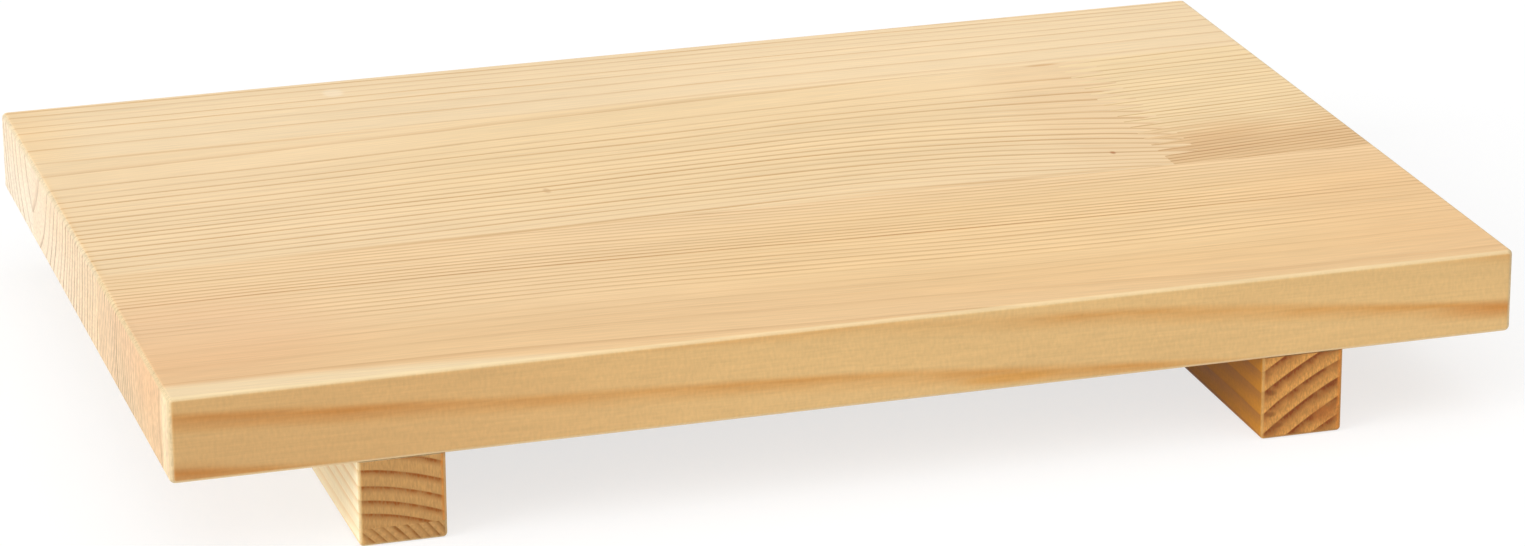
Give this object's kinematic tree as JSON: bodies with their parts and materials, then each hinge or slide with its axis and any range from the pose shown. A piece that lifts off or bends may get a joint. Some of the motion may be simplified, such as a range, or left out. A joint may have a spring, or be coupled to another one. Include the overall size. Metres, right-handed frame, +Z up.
{
  "type": "sushi geta board",
  "caption": "Low rectangular softwood serving board, edge-glued and finger-jointed, raised on square batten feet that run front to back; sushi is served on its flat top.",
  "frame": {"origin": "on the table under the centre of the board, level with the soles of both feet", "axes": "+X along the board's length to the right, +Y towards the back, +Z up"},
  "size_m": [0.3, 0.2, 0.038],
  "materials": {
    "panel_pine": "sanded softwood, pale straw with fine rings",
    "foot_pine": "sanded softwood, tan with bold brown rings on its ends",
    "screw_steel": "zinc-plated, satin"
  },
  "bodies": {
    "root": {"back_stave": "panel_pine", "middle_stave_long": "panel_pine", "middle_stave_short": "panel_pine", "front_stave": "panel_pine", "left_foot_upper_strip": "foot_pine", "left_foot_lower_strip": "foot_pine", "right_foot": "foot_pine", "foot_screws": "screw_steel"}
  },
  "joints": []
}
